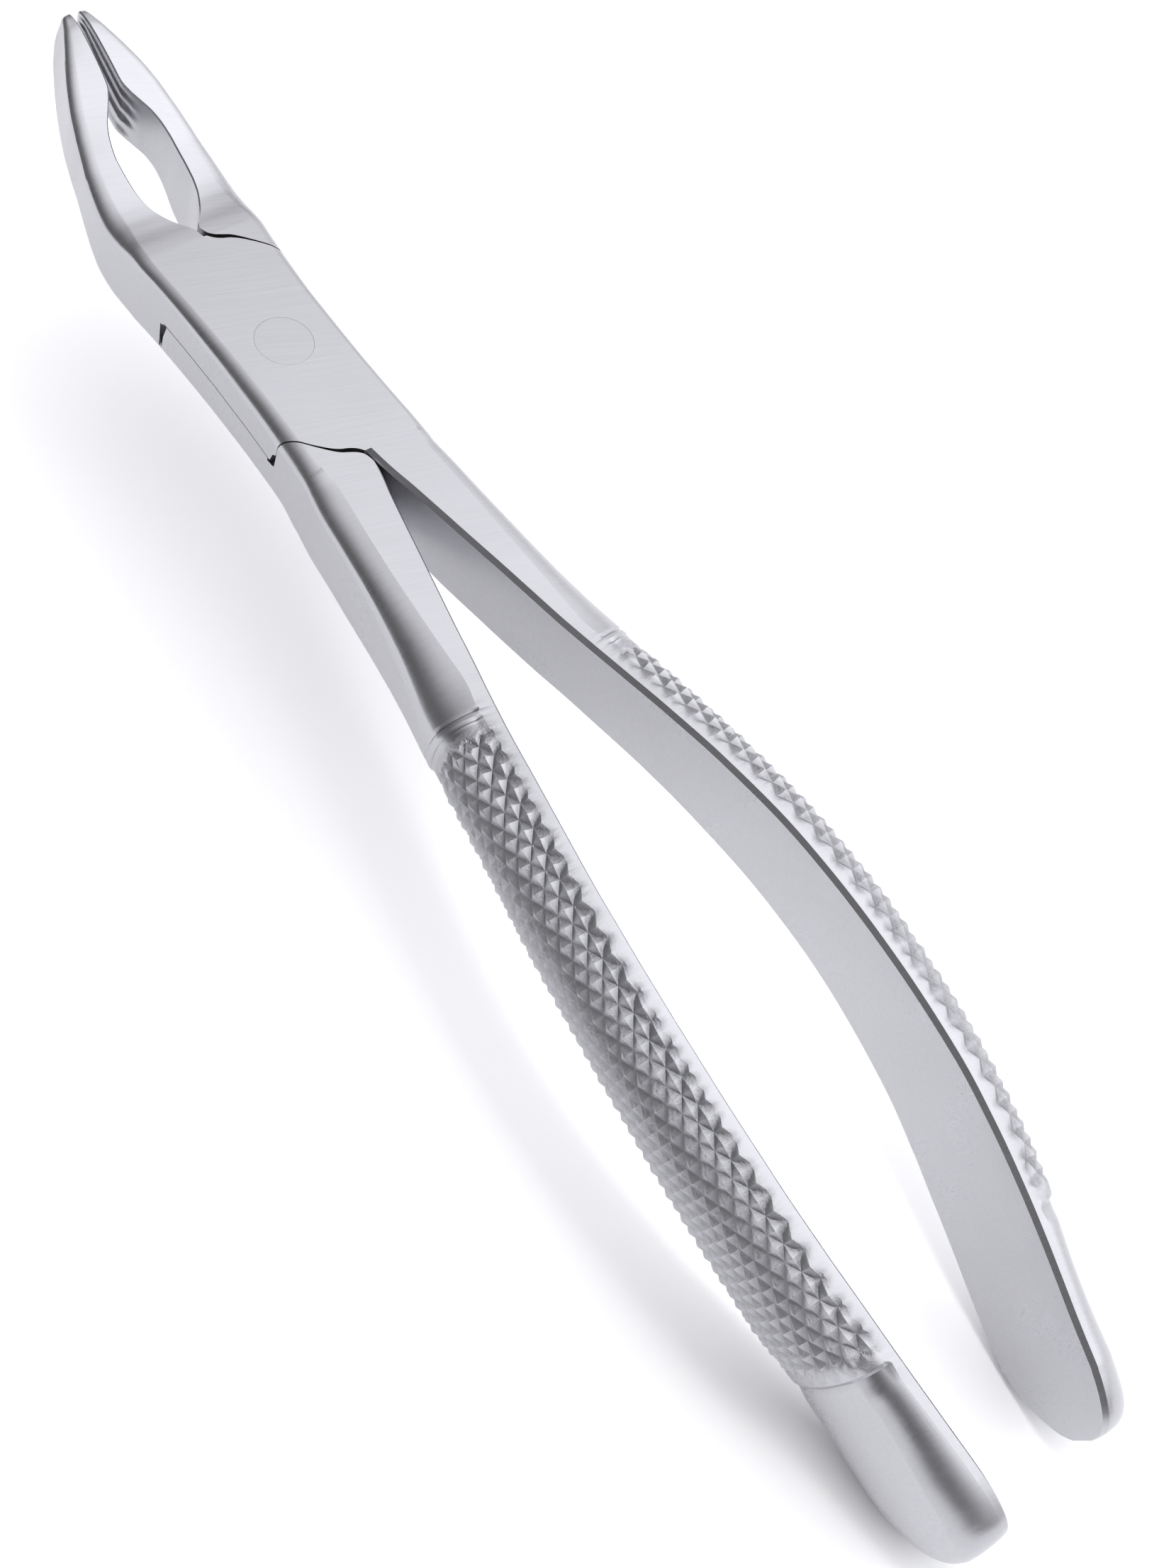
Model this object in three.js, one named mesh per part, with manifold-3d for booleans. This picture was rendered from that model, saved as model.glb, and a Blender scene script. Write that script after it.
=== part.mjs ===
// Extraction forceps, upper universal (American) pattern, lap joint.
// Three separate pieces: two forged halves that cross at a half-lapped joint,
// and the pivot screw whose head lies flush in the front cheek.
//
// Frame (millimetres): the pivot axis is Z. z = 0 is the back face of the joint
// and z = JOINT_T its front face, +Y points to the beaks, -Y to the handles,
// +X is the side of the right handle.
import * as THREE from 'three';
import { mergeVertices } from 'three/addons/utils/BufferGeometryUtils.js';
import Module from 'manifold-3d';

// ---------------------------------------------------------------- dimensions
const JOINT_T = 9.0;          // thickness of the joint, front face to back face
const LAP_GAP = 0.10;         // running gap between the two cheeks
const SEAM_HALF = 0.07;       // half the running gap where the shoulders fit closely
const SCREW_HEAD_R = 3.0;
const SCREW_HEAD_H = 2.0;
const SCREW_SHANK_R = 2.0;
const BORE_GAP = 0.05;        // radial clearance round the screw
const ROUND_SEGS = 40;
const CORNER_SEGS = 4;        // facets in one rounded corner
const BEVEL = 0.35;           // broken edge along the inner faces

// Joint block: y, left side x, right side x, rounding of the left and right edges
const JOINT = [
  [-15.0, -7.50, 7.12, 1.40, 0.95],
  [-12.0, -7.28, 6.80, 1.25, 0.80],
  [-8.0, -7.08, 6.56, 1.08, 0.75],
  [-4.0, -7.00, 6.44, 0.98, 0.78],
  [0.0, -7.00, 6.40, 0.90, 0.82],
  [4.0, -7.08, 6.42, 0.86, 0.90],
  [8.0, -7.22, 6.62, 0.86, 1.05],
  [12.0, -7.46, 6.96, 0.92, 1.25],
  [15.0, -7.70, 7.20, 1.05, 1.35],
];

// Shoulder line of the front lap, lower left, from the outside to the crotch: x, y
// and how far the shoulder stands back from it. The upper right line is the same
// one turned half a turn about the pivot.
const SEAM = [[-9.6, -7.7, 0.07], [-8.5, -8.9, 0.07], [-7.4, -9.83, 0.07], [-6.6, -10.45, 0.07],
  [-5.9, -11.04, 0.08], [-4.8, -12.15, 0.11], [-3.46, -13.28, 0.22], [-2.56, -13.82, 0.36],
  [-1.75, -14.1, 0.44], [-1.05, -14.47, 0.42], [-0.45, -15.06, 0.36], [-0.16, -15.77, 0.32],
  [0.0, -16.7, 0.32], [0.0, -18.5, 0.32], [0.0, -24.0, 0.32]];

// Handle: y, inner edge x, inner edge z from the front face, width across the
// inner face, total thickness, flat strip beside the inner face, height of the
// rounded corner in front and behind
const HANDLE = [
  [-15.0, -0.10, 0.00, 9.00, 7.22, 6.02, 1.20, 0.95],
  [-16.6, 0.16, 0.00, 9.00, 7.06, 5.72, 1.30, 1.00],
  [-18.2, 0.46, 0.00, 9.03, 6.92, 5.42, 1.36, 1.02],
  [-20.5, 1.02, 0.00, 9.10, 6.70, 5.00, 1.46, 1.10],
  [-24.0, 1.76, 0.00, 9.25, 6.38, 4.50, 1.72, 1.35],
  [-28.0, 2.58, 0.00, 9.62, 6.12, 3.88, 2.05, 1.75],
  [-32.0, 3.42, 0.00, 9.80, 5.94, 3.25, 2.55, 2.35],
  [-36.0, 4.24, -0.03, 9.90, 5.90, 2.65, 3.15, 3.10],
  [-40.0, 5.02, -0.02, 9.85, 6.08, 2.05, 3.75, 3.80],
  [-43.4, 5.76, 0.04, 9.80, 6.28, 1.50, 4.25, 4.30],
  [-48.0, 6.74, 0.24, 10.0, 6.20, 1.22, 4.60, 4.60],
  [-54.0, 7.88, 0.66, 10.4, 6.05, 1.16, 4.85, 4.90],
  [-61.0, 9.12, 0.93, 11.15, 5.86, 1.15, 5.05, 5.40],
  [-68.0, 10.14, 0.90, 11.82, 5.80, 1.15, 5.15, 5.95],
  [-75.0, 10.80, 0.48, 12.3, 5.78, 1.15, 5.25, 6.65],
  [-82.0, 11.18, -0.26, 12.8, 5.80, 1.15, 5.45, 7.20],
  [-89.0, 11.33, -1.30, 13.6, 5.66, 1.18, 5.75, 7.75],
  [-96.0, 11.22, -2.60, 14.4, 5.48, 1.22, 6.00, 8.30],
  [-103.0, 10.72, -4.36, 15.1, 5.40, 1.28, 6.20, 8.80],
  [-109.0, 10.03, -6.12, 15.5, 5.46, 1.35, 6.35, 9.00],
  [-113.0, 9.50, -7.45, 15.5, 4.98, 1.32, 7.20, 7.80],
  [-117.0, 8.90, -8.86, 15.5, 4.92, 1.18, 8.20, 6.90],
  [-121.0, 8.28, -10.28, 15.45, 5.16, 1.08, 8.60, 6.40],
  [-125.0, 7.70, -11.60, 15.2, 5.50, 1.00, 8.60, 6.00],
];
// The neck of the left handle is a little stouter outside: y, extra thickness
const LEFT_NECK = [[-15.0, 0.28], [-18.2, 0.55], [-20.5, 0.60], [-28.0, 0.38], [-36.0, 0.14], [-43.4, 0.0]];
const LEFT_LONGER = 0.8;      // the left handle's foot reaches this much further
const RIGHT_SHORTER = 0.5;    // and the right one's this much less
// Rounded foot of the handle, past the last station: distance on, near edge
// moved in, far edge moved in, thickness, strip, front and back corner height
const HANDLE_END = [
  [1.9, 0.22, 0.55, 5.56, 1.00, 8.4, 5.8],
  [3.6, 0.62, 1.60, 5.56, 1.00, 7.7, 5.2],
  [5.1, 1.20, 2.90, 5.40, 1.00, 6.8, 4.4],
  [6.2, 1.95, 4.20, 5.05, 0.95, 5.6, 3.6],
  [7.0, 3.00, 5.40, 4.50, 0.90, 4.2, 2.8],
  [7.5, 4.40, 6.90, 3.80, 0.85, 2.4, 1.8],
];

// Beak: y, inner edge x, outer x, then z from the front face of the joint:
// front inner edge, front shoulder drop, back inner edge, back outer edge;
// then corner width and height in front, corner width and height behind, and
// how much wider the back is than the front
const BEAK = [
  [15.0, -0.20, 7.20, 0.00, 0.00, -9.00, -9.00, 1.35, 1.20, 1.20, 1.10, 0.00],
  [16.0, 0.08, 7.21, -0.04, 0.03, -9.00, -9.00, 1.38, 1.30, 1.20, 1.10, 0.02],
  [16.7, 0.45, 7.23, -0.10, 0.06, -9.00, -9.00, 1.45, 1.40, 1.20, 1.10, 0.04],
  [17.3, 0.95, 7.26, -0.18, 0.10, -9.00, -9.00, 1.55, 1.48, 1.22, 1.15, 0.06],
  [18.2, 1.62, 7.31, -0.32, 0.14, -9.00, -8.98, 1.75, 1.60, 1.30, 1.20, 0.08],
  [19.4, 2.30, 7.36, -0.46, 0.20, -8.98, -8.86, 1.92, 1.72, 1.45, 1.35, 0.12],
  [20.8, 2.88, 7.40, -0.42, 0.26, -8.85, -8.55, 2.00, 1.76, 1.65, 1.50, 0.16],
  [22.4, 3.20, 7.34, -0.05, 0.32, -8.50, -7.95, 1.92, 1.70, 1.85, 1.70, 0.20],
  [24.3, 3.30, 7.16, 0.60, 0.36, -7.75, -7.05, 1.80, 1.60, 2.00, 1.85, 0.22],
  [26.2, 3.30, 6.88, 1.42, 0.38, -6.30, -6.20, 1.70, 1.50, 2.10, 1.95, 0.22],
  [28.0, 3.06, 6.54, 2.28, 0.38, -4.70, -5.50, 1.60, 1.45, 2.15, 2.00, 0.24],
  [29.5, 2.56, 6.20, 3.05, 0.38, -3.70, -4.98, 1.55, 1.40, 2.20, 2.00, 0.28],
  [30.8, 1.78, 5.86, 3.75, 0.38, -3.00, -4.52, 1.50, 1.40, 2.25, 2.00, 0.30],
  [31.9, 1.12, 5.56, 4.35, 0.38, -2.45, -4.08, 1.50, 1.38, 2.25, 1.95, 0.32],
  [32.9, 0.72, 5.22, 4.92, 0.38, -2.05, -3.62, 1.48, 1.36, 2.25, 1.95, 0.36],
  [34.6, 0.63, 4.56, 5.78, 0.36, -1.30, -2.75, 1.42, 1.32, 2.15, 1.90, 0.46],
  [36.3, 0.58, 3.78, 6.48, 0.32, -0.30, -1.55, 1.30, 1.28, 1.95, 1.80, 0.62],
  [37.8, 0.54, 3.02, 7.02, 0.26, 0.85, -0.15, 1.15, 1.20, 1.70, 1.65, 0.78],
  [39.1, 0.50, 2.36, 7.36, 0.20, 2.20, 1.50, 0.98, 1.05, 1.35, 1.40, 0.86],
  [40.1, 0.48, 1.88, 7.42, 0.14, 3.50, 3.10, 0.80, 0.90, 0.95, 1.10, 0.72],
  [40.65, 0.47, 1.66, 7.34, 0.11, 4.40, 4.20, 0.70, 0.80, 0.72, 0.90, 0.42],
  [40.95, 0.50, 1.42, 7.12, 0.08, 5.20, 5.10, 0.52, 0.60, 0.50, 0.60, 0.16],
  [41.10, 0.62, 1.14, 6.86, 0.04, 5.80, 5.75, 0.28, 0.30, 0.26, 0.30, 0.00],
];
// The root of the left beak is a little stouter outside: y, extra width
const LEFT_ROOT = [[15.0, 0.50], [18.2, 0.48], [20.8, 0.40], [24.3, 0.20], [28.0, 0.0]];

// ---------------------------------------------------------------- helpers
const wasm = await Module();
wasm.setup();

function toSolid(geometry) {
  const g = geometry.clone();
  for (const name of Object.keys(g.attributes)) if (name !== 'position') g.deleteAttribute(name);
  const m = mergeVertices(g, 1e-5);
  return new wasm.Manifold(new wasm.Mesh({
    numProp: 3,
    vertProperties: new Float32Array(m.attributes.position.array),
    triVerts: new Uint32Array(m.index.array),
  }));
}

function toGeometry(solid) {
  const mesh = solid.getMesh();
  const g = new THREE.BufferGeometry();
  const p = new Float32Array((mesh.vertProperties.length / mesh.numProp) * 3);
  for (let i = 0; i < p.length / 3; i++) {
    for (let k = 0; k < 3; k++) p[i * 3 + k] = mesh.vertProperties[i * mesh.numProp + k];
  }
  g.setAttribute('position', new THREE.BufferAttribute(p, 3));
  g.setIndex(new THREE.BufferAttribute(new Uint32Array(mesh.triVerts), 1));
  g.computeVertexNormals();
  return g;
}

// Closed skin through a row of equal loops, with fan caps at both ends.
function loft(loops) {
  const n = loops[0].length;
  const pos = [];
  const idx = [];
  for (const loop of loops) for (const p of loop) pos.push(p.x, p.y, p.z);
  for (let i = 0; i + 1 < loops.length; i++) {
    for (let j = 0; j < n; j++) {
      const a = i * n + j, b = i * n + (j + 1) % n, c = a + n, d = b + n;
      idx.push(a, b, d, a, d, c);
    }
  }
  for (const [row, flip] of [[0, true], [loops.length - 1, false]]) {
    const centre = new THREE.Vector3();
    for (const p of loops[row]) centre.addScaledVector(p, 1 / n);
    const k = pos.length / 3;
    pos.push(centre.x, centre.y, centre.z);
    for (let j = 0; j < n; j++) {
      const a = row * n + j, b = row * n + (j + 1) % n;
      if (flip) idx.push(k, b, a); else idx.push(k, a, b);
    }
  }
  let volume = 0;
  const v = (i) => new THREE.Vector3(pos[i * 3], pos[i * 3 + 1], pos[i * 3 + 2]);
  for (let i = 0; i < idx.length; i += 3) volume += v(idx[i]).dot(v(idx[i + 1]).cross(v(idx[i + 2])));
  if (volume < 0) for (let i = 0; i < idx.length; i += 3) [idx[i], idx[i + 1]] = [idx[i + 1], idx[i]];
  const g = new THREE.BufferGeometry();
  g.setAttribute('position', new THREE.Float32BufferAttribute(pos, 3));
  g.setIndex(idx);
  return g;
}

// Quarter ellipse from (x0, y0) towards (x1, y1), leaving along x first or y first.
function corner(x0, y0, x1, y1, xFirst) {
  const out = [];
  for (let i = 0; i <= CORNER_SEGS; i++) {
    const a = (i / CORNER_SEGS) * Math.PI / 2;
    const s = Math.sin(a), c = 1 - Math.cos(a);
    out.push(xFirst ? [x0 + (x1 - x0) * s, y0 + (y1 - y0) * c] : [x0 + (x1 - x0) * c, y0 + (y1 - y0) * s]);
  }
  return out;
}

// One section as [u, w] pairs: u outwards from the inner face, w from the front
// edge (negative towards the back).
function section({ t, front = 0, drop = 0, backIn, backOut, an, bn, af, bf, flare = 0 }) {
  const e = Math.min(BEVEL, t * 0.2, (front - backIn) * 0.2);
  return [
    [0, backIn + e], [0, front - e], [e, front],
    ...corner(t - an, front - drop, t, front - drop - bn, true),
    ...corner(t + flare, backOut + bf, t + flare - af, backOut, false),
    [e, backIn],
  ];
}

// Prism between two heights over a closed outline in the XY plane.
function prism(points, z0, z1) {
  const shape = new THREE.Shape(points.map(([x, y]) => new THREE.Vector2(x, y)));
  const g = new THREE.ExtrudeGeometry(shape, { depth: z1 - z0, bevelEnabled: false });
  g.translate(0, 0, z0);
  return toSolid(g);
}

// Line moved sideways by distance(point), positive to the left of its direction.
function offsetLine(line, distance) {
  return line.map((p, i) => {
    const a = line[Math.max(0, i - 1)], b = line[Math.min(line.length - 1, i + 1)];
    const l = Math.hypot(b[0] - a[0], b[1] - a[1]), d = distance(p);
    return [p[0] - d * (b[1] - a[1]) / l, p[1] + d * (b[0] - a[0]) / l];
  });
}

// Straight-line value of a [position, value] table.
function along(table, at) {
  const rows = [...table].sort((a, b) => a[0] - b[0]);
  if (at <= rows[0][0]) return rows[0][1];
  for (let i = 1; i < rows.length; i++) {
    if (at <= rows[i][0]) {
      const f = (at - rows[i - 1][0]) / (rows[i][0] - rows[i - 1][0]);
      return rows[i - 1][1] + f * (rows[i][1] - rows[i - 1][1]);
    }
  }
  return rows[rows.length - 1][1];
}

function roundBar(radius, z0, z1) {
  const g = new THREE.CylinderGeometry(radius, radius, z1 - z0, ROUND_SEGS);
  g.rotateX(Math.PI / 2);
  g.translate(0, 0, (z0 + z1) / 2);
  return toSolid(g);
}

// ---------------------------------------------------------------- outer forms
// The joint block with both cheeks in one piece.
function jointBlock() {
  const loops = JOINT.map(([y, left, right, rl, rr]) => {
    const side = (x, r) => section({
      t: x, front: JOINT_T, backIn: 0, backOut: 0, an: r, bn: r, af: r, bf: r,
    }).filter(([u]) => u > x - r - 0.01);
    const outline = [...side(right, rr), ...side(-left, rl).map(([x, z]) => [-x, z]).reverse()];
    return outline.map(([x, z]) => new THREE.Vector3(x, y, z));
  });
  return toSolid(loft(loops));
}

function handle(side) {
  const extra = (y) => (side < 0 ? along(LEFT_NECK, y) : 0);
  const loops = [];
  const place = (edge, tangent, pts) => {
    const across = new THREE.Vector3(1, 0, 0).cross(tangent).normalize();   // towards the front
    const out = tangent.clone().cross(across).normalize();                  // away from the inner face
    return pts.map(([u, w]) => edge.clone().addScaledVector(out, u).addScaledVector(across, w));
  };
  const edges = HANDLE.map(([y, x, z]) => new THREE.Vector3(x, y, JOINT_T + z));
  const tangents = edges.map((e, i) => {
    const a = edges[Math.min(edges.length - 1, i + 1)], b = edges[Math.max(0, i - 1)];
    return b.clone().sub(a).normalize();
  });
  tangents[0].set(0, 1, 0);
  tangents[1].lerp(new THREE.Vector3(0, 1, 0), 0.5).normalize();
  HANDLE.forEach(([y, , , w, t, strip, cf, cb], i) => {
    loops.push(place(edges[i], tangents[i], section({
      t: t + extra(y), backIn: -w, backOut: -w, an: t - strip, bn: cf, af: t - strip, bf: Math.min(cb, w - cf - 0.04),
    })));
  });
  const last = HANDLE[HANDLE.length - 1];
  const e0 = edges[edges.length - 1], t0 = tangents[tangents.length - 1];
  for (const [d, near, far, t, strip, cf, cb] of HANDLE_END) {
    const w = last[3] - near - far;
    const k = Math.min(1, (w - 0.04) / (cf + cb));
    const across = new THREE.Vector3(1, 0, 0).cross(t0).normalize();
    const reach = d + (side < 0 ? LEFT_LONGER : -RIGHT_SHORTER);
    const e = e0.clone().addScaledVector(t0, -reach).addScaledVector(across, -near);
    loops.push(place(e, t0, section({
      t, backIn: -w, backOut: -w, an: t - strip, bn: cf * k, af: t - strip, bf: cb * k,
    })));
  }
  return toSolid(loft(loops.map((loop) => loop.map((p) => new THREE.Vector3(side * p.x, p.y, p.z)))));
}

function beak(side) {
  const extra = (y) => (side < 0 ? along(LEFT_ROOT, y) : 0);
  return toSolid(loft(BEAK.map(([y, xi, xo, front, drop, backIn, backOut, an, bn, af, bf, flare]) => section({
    t: xo + extra(y) - xi, front, drop, backIn, backOut, an, bn, af, bf, flare,
  }).map(([u, w]) => new THREE.Vector3(side * (xi + u), y, JOINT_T + w)))));
}

// ---------------------------------------------------------------- the two halves
const mid = JOINT_T / 2;
const mirror = (line) => line.map(([x, y]) => [-x, y]);
const turn = (line) => line.map(([x, y]) => [-x, -y]);
const closeLine = offsetLine(SEAM, () => SEAM_HALF);           // edge of the cheek
const farLine = offsetLine(SEAM, ([, , back]) => -back);       // edge of the shoulder

// Everything that belongs to the other half. flip is +1 for the half that
// carries the front cheek and -1 for the half that carries the back cheek.
function otherHalfSpace(flip) {
  const f = (line) => (flip > 0 ? line : mirror(line));
  const g = LAP_GAP / 2;
  const shoulders = [
    f([...closeLine, [-14, -24], [-14, -7.7]]),
    f([...turn(closeLine), [14, 24], [14, 7.7]]),
  ];
  const cheek = f([...mirror(farLine), [-14, -24], [-14, 7.7], ...mirror(turn(farLine)), [14, 24], [14, -7.7]]);
  const own = flip > 0 ? [mid - g, JOINT_T + 20] : [-40, mid + g];
  const other = flip > 0 ? [-40, mid + g] : [mid - g, JOINT_T + 20];
  return prism(shoulders[0], ...own).add(prism(shoulders[1], ...own)).add(prism(cheek, ...other));
}

// Right handle half: it carries the front cheek and the left beak. Its cheek is
// bored for the screw and recessed for the screw's head.
const rightHalf = jointBlock().add(handle(1)).add(beak(-1))
  .subtract(otherHalfSpace(1))
  .subtract(roundBar(SCREW_SHANK_R + BORE_GAP, mid - 3, JOINT_T + 3))
  .subtract(roundBar(SCREW_HEAD_R + BORE_GAP, JOINT_T - SCREW_HEAD_H - BORE_GAP, JOINT_T + 3));

// Left handle half: it carries the back cheek and the right beak.
const leftHalf = jointBlock().add(handle(-1)).add(beak(1))
  .subtract(otherHalfSpace(-1))
  .subtract(roundBar(SCREW_SHANK_R + BORE_GAP, -3, mid + 3));

// Pivot screw: plain shank through both cheeks, flush head in the front cheek.
const screwProfile = [
  [0, 0], [SCREW_SHANK_R, 0], [SCREW_SHANK_R, JOINT_T - SCREW_HEAD_H],
  [SCREW_HEAD_R, JOINT_T - SCREW_HEAD_H], [SCREW_HEAD_R, JOINT_T], [0, JOINT_T],
].map(([r, z]) => new THREE.Vector2(r, z));
const screwGeometry = new THREE.LatheGeometry(screwProfile, ROUND_SEGS);
screwGeometry.rotateX(Math.PI / 2);

// ---------------------------------------------------------------- scene graph
const steel = () => new THREE.MeshStandardMaterial({ color: 0xc8c8ce, roughness: 0.36, metalness: 1.0 });
const screwSteel = new THREE.MeshStandardMaterial({ color: 0xc2c2c8, roughness: 0.32, metalness: 1.0 });

function node(name, geometry, material) {
  const mesh = new THREE.Mesh(geometry, material);
  mesh.name = name;
  return mesh;
}

const forceps = new THREE.Group();
forceps.add(node('left_handle_half', toGeometry(leftHalf), steel()));
forceps.add(node('right_handle_half', toGeometry(rightHalf), steel()));
forceps.add(node('pivot_screw', screwGeometry, screwSteel));

export default forceps;
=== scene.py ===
"""Looks of the extraction forceps: two knurled steel halves and their pivot screw.
Tables are in millimetres in the shared frame; meshes are made in metres."""
import math
import numpy as np
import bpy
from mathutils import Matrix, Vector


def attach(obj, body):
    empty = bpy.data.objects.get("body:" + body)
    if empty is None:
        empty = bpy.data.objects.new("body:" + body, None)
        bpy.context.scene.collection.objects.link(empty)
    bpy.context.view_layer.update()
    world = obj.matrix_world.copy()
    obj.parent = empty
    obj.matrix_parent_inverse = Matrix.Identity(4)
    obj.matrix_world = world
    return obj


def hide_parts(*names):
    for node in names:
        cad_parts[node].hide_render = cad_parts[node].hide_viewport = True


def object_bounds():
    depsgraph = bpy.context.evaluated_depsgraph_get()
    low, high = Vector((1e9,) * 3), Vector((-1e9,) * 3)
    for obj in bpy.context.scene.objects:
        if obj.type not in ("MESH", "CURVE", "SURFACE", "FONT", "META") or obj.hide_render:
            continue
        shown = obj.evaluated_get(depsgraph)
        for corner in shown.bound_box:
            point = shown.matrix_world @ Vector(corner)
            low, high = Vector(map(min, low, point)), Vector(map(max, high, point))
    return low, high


# ------------------------------------------------------------------ tables
JOINT_T = 9.0
LAP_GAP = 0.10
SEAM_HALF = 0.07
SCREW_HEAD_R = 3.0
SCREW_HEAD_H = 2.0
SCREW_SHANK_R = 2.0
BORE_GAP = 0.05
BEVEL = 0.35
LEFT_LONGER = 0.8
RIGHT_SHORTER = 0.5

# joint block: y, left x, right x, rounding left, rounding right
JOINT = [
    [-15.0, -7.50, 7.12, 1.90, 0.95], [-12.0, -7.28, 6.80, 1.80, 0.80], [-8.0, -7.08, 6.56, 1.68, 0.75],
    [-4.0, -7.00, 6.44, 1.58, 0.78], [0.0, -7.00, 6.40, 1.46, 0.82], [4.0, -7.08, 6.42, 1.36, 0.90],
    [8.0, -7.22, 6.62, 1.26, 1.05], [12.0, -7.46, 6.96, 1.20, 1.25], [15.0, -7.70, 7.20, 1.20, 1.35]]

# shoulder line of the front lap: x, y, how far the shoulder stands back
SEAM = [[-9.6, -7.7, 0.07], [-8.5, -8.9, 0.07], [-7.4, -9.83, 0.07], [-6.6, -10.45, 0.07],
        [-5.9, -11.04, 0.08], [-4.8, -12.15, 0.11], [-3.46, -13.28, 0.22], [-2.56, -13.82, 0.36],
        [-1.75, -14.1, 0.44], [-1.05, -14.47, 0.42], [-0.45, -15.06, 0.36], [-0.16, -15.77, 0.32],
        [0.0, -16.7, 0.32], [0.0, -18.5, 0.32], [0.0, -24.0, 0.32]]

# handle: y, inner edge x, inner edge z from the front face, width, thickness,
# flat strip, corner height in front and behind
HANDLE = [
    [-15.0, -0.10, 0.00, 9.00, 7.22, 6.02, 1.20, 0.95], [-16.6, 0.16, 0.00, 9.00, 7.06, 5.72, 1.30, 1.00],
    [-18.2, 0.46, 0.00, 9.03, 6.92, 5.42, 1.36, 1.02], [-20.5, 1.02, 0.00, 9.10, 6.70, 5.00, 1.46, 1.10],
    [-24.0, 1.76, 0.00, 9.25, 6.38, 4.50, 1.72, 1.35], [-28.0, 2.58, 0.00, 9.62, 6.12, 3.88, 2.05, 1.75],
    [-32.0, 3.42, 0.00, 9.80, 5.94, 3.25, 2.55, 2.35], [-36.0, 4.24, -0.03, 9.90, 5.90, 2.65, 3.15, 3.10],
    [-40.0, 5.02, -0.02, 9.85, 6.08, 2.05, 3.75, 3.80], [-43.4, 5.76, 0.04, 9.80, 6.28, 1.50, 4.25, 4.30],
    [-48.0, 6.74, 0.24, 10.0, 6.20, 1.22, 4.60, 4.60], [-54.0, 7.88, 0.66, 10.4, 6.05, 1.16, 4.85, 4.90],
    [-61.0, 9.12, 0.93, 11.15, 5.86, 1.15, 5.05, 5.40], [-68.0, 10.14, 0.90, 11.82, 5.80, 1.15, 5.15, 5.95],
    [-75.0, 10.80, 0.48, 12.3, 5.78, 1.15, 5.25, 6.65], [-82.0, 11.18, -0.26, 12.8, 5.80, 1.15, 5.45, 7.20],
    [-89.0, 11.33, -1.30, 13.6, 5.66, 1.18, 5.75, 7.75], [-96.0, 11.22, -2.60, 14.4, 5.48, 1.22, 6.00, 8.30],
    [-103.0, 10.72, -4.36, 15.1, 5.40, 1.28, 6.20, 8.80], [-109.0, 10.03, -6.12, 15.5, 5.46, 1.35, 6.35, 9.00],
    [-113.0, 9.50, -7.45, 15.5, 4.98, 1.32, 7.20, 7.80], [-117.0, 8.90, -8.86, 15.5, 4.92, 1.18, 8.20, 6.90],
    [-121.0, 8.28, -10.28, 15.45, 5.16, 1.08, 8.60, 6.40], [-125.0, 7.70, -11.60, 15.2, 5.50, 1.00, 8.60, 6.00]]
LEFT_NECK = [[-43.4, 0.0], [-36.0, 0.14], [-28.0, 0.38], [-20.5, 0.60], [-18.2, 0.55], [-15.0, 0.28]]
# rounded foot: distance on, near in, far in, thickness, strip, corner heights
HANDLE_END = [
    [0.0, 0.0, 0.0, 5.50, 1.00, 8.60, 6.00], [1.9, 0.22, 0.55, 5.56, 1.00, 8.4, 5.8],
    [3.6, 0.62, 1.60, 5.56, 1.00, 7.7, 5.2], [5.1, 1.20, 2.90, 5.40, 1.00, 6.8, 4.4],
    [6.2, 1.95, 4.20, 5.05, 0.95, 5.6, 3.6], [7.0, 3.00, 5.40, 4.50, 0.90, 4.2, 2.8],
    [7.5, 4.40, 6.90, 3.80, 0.85, 2.4, 1.8]]
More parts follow.
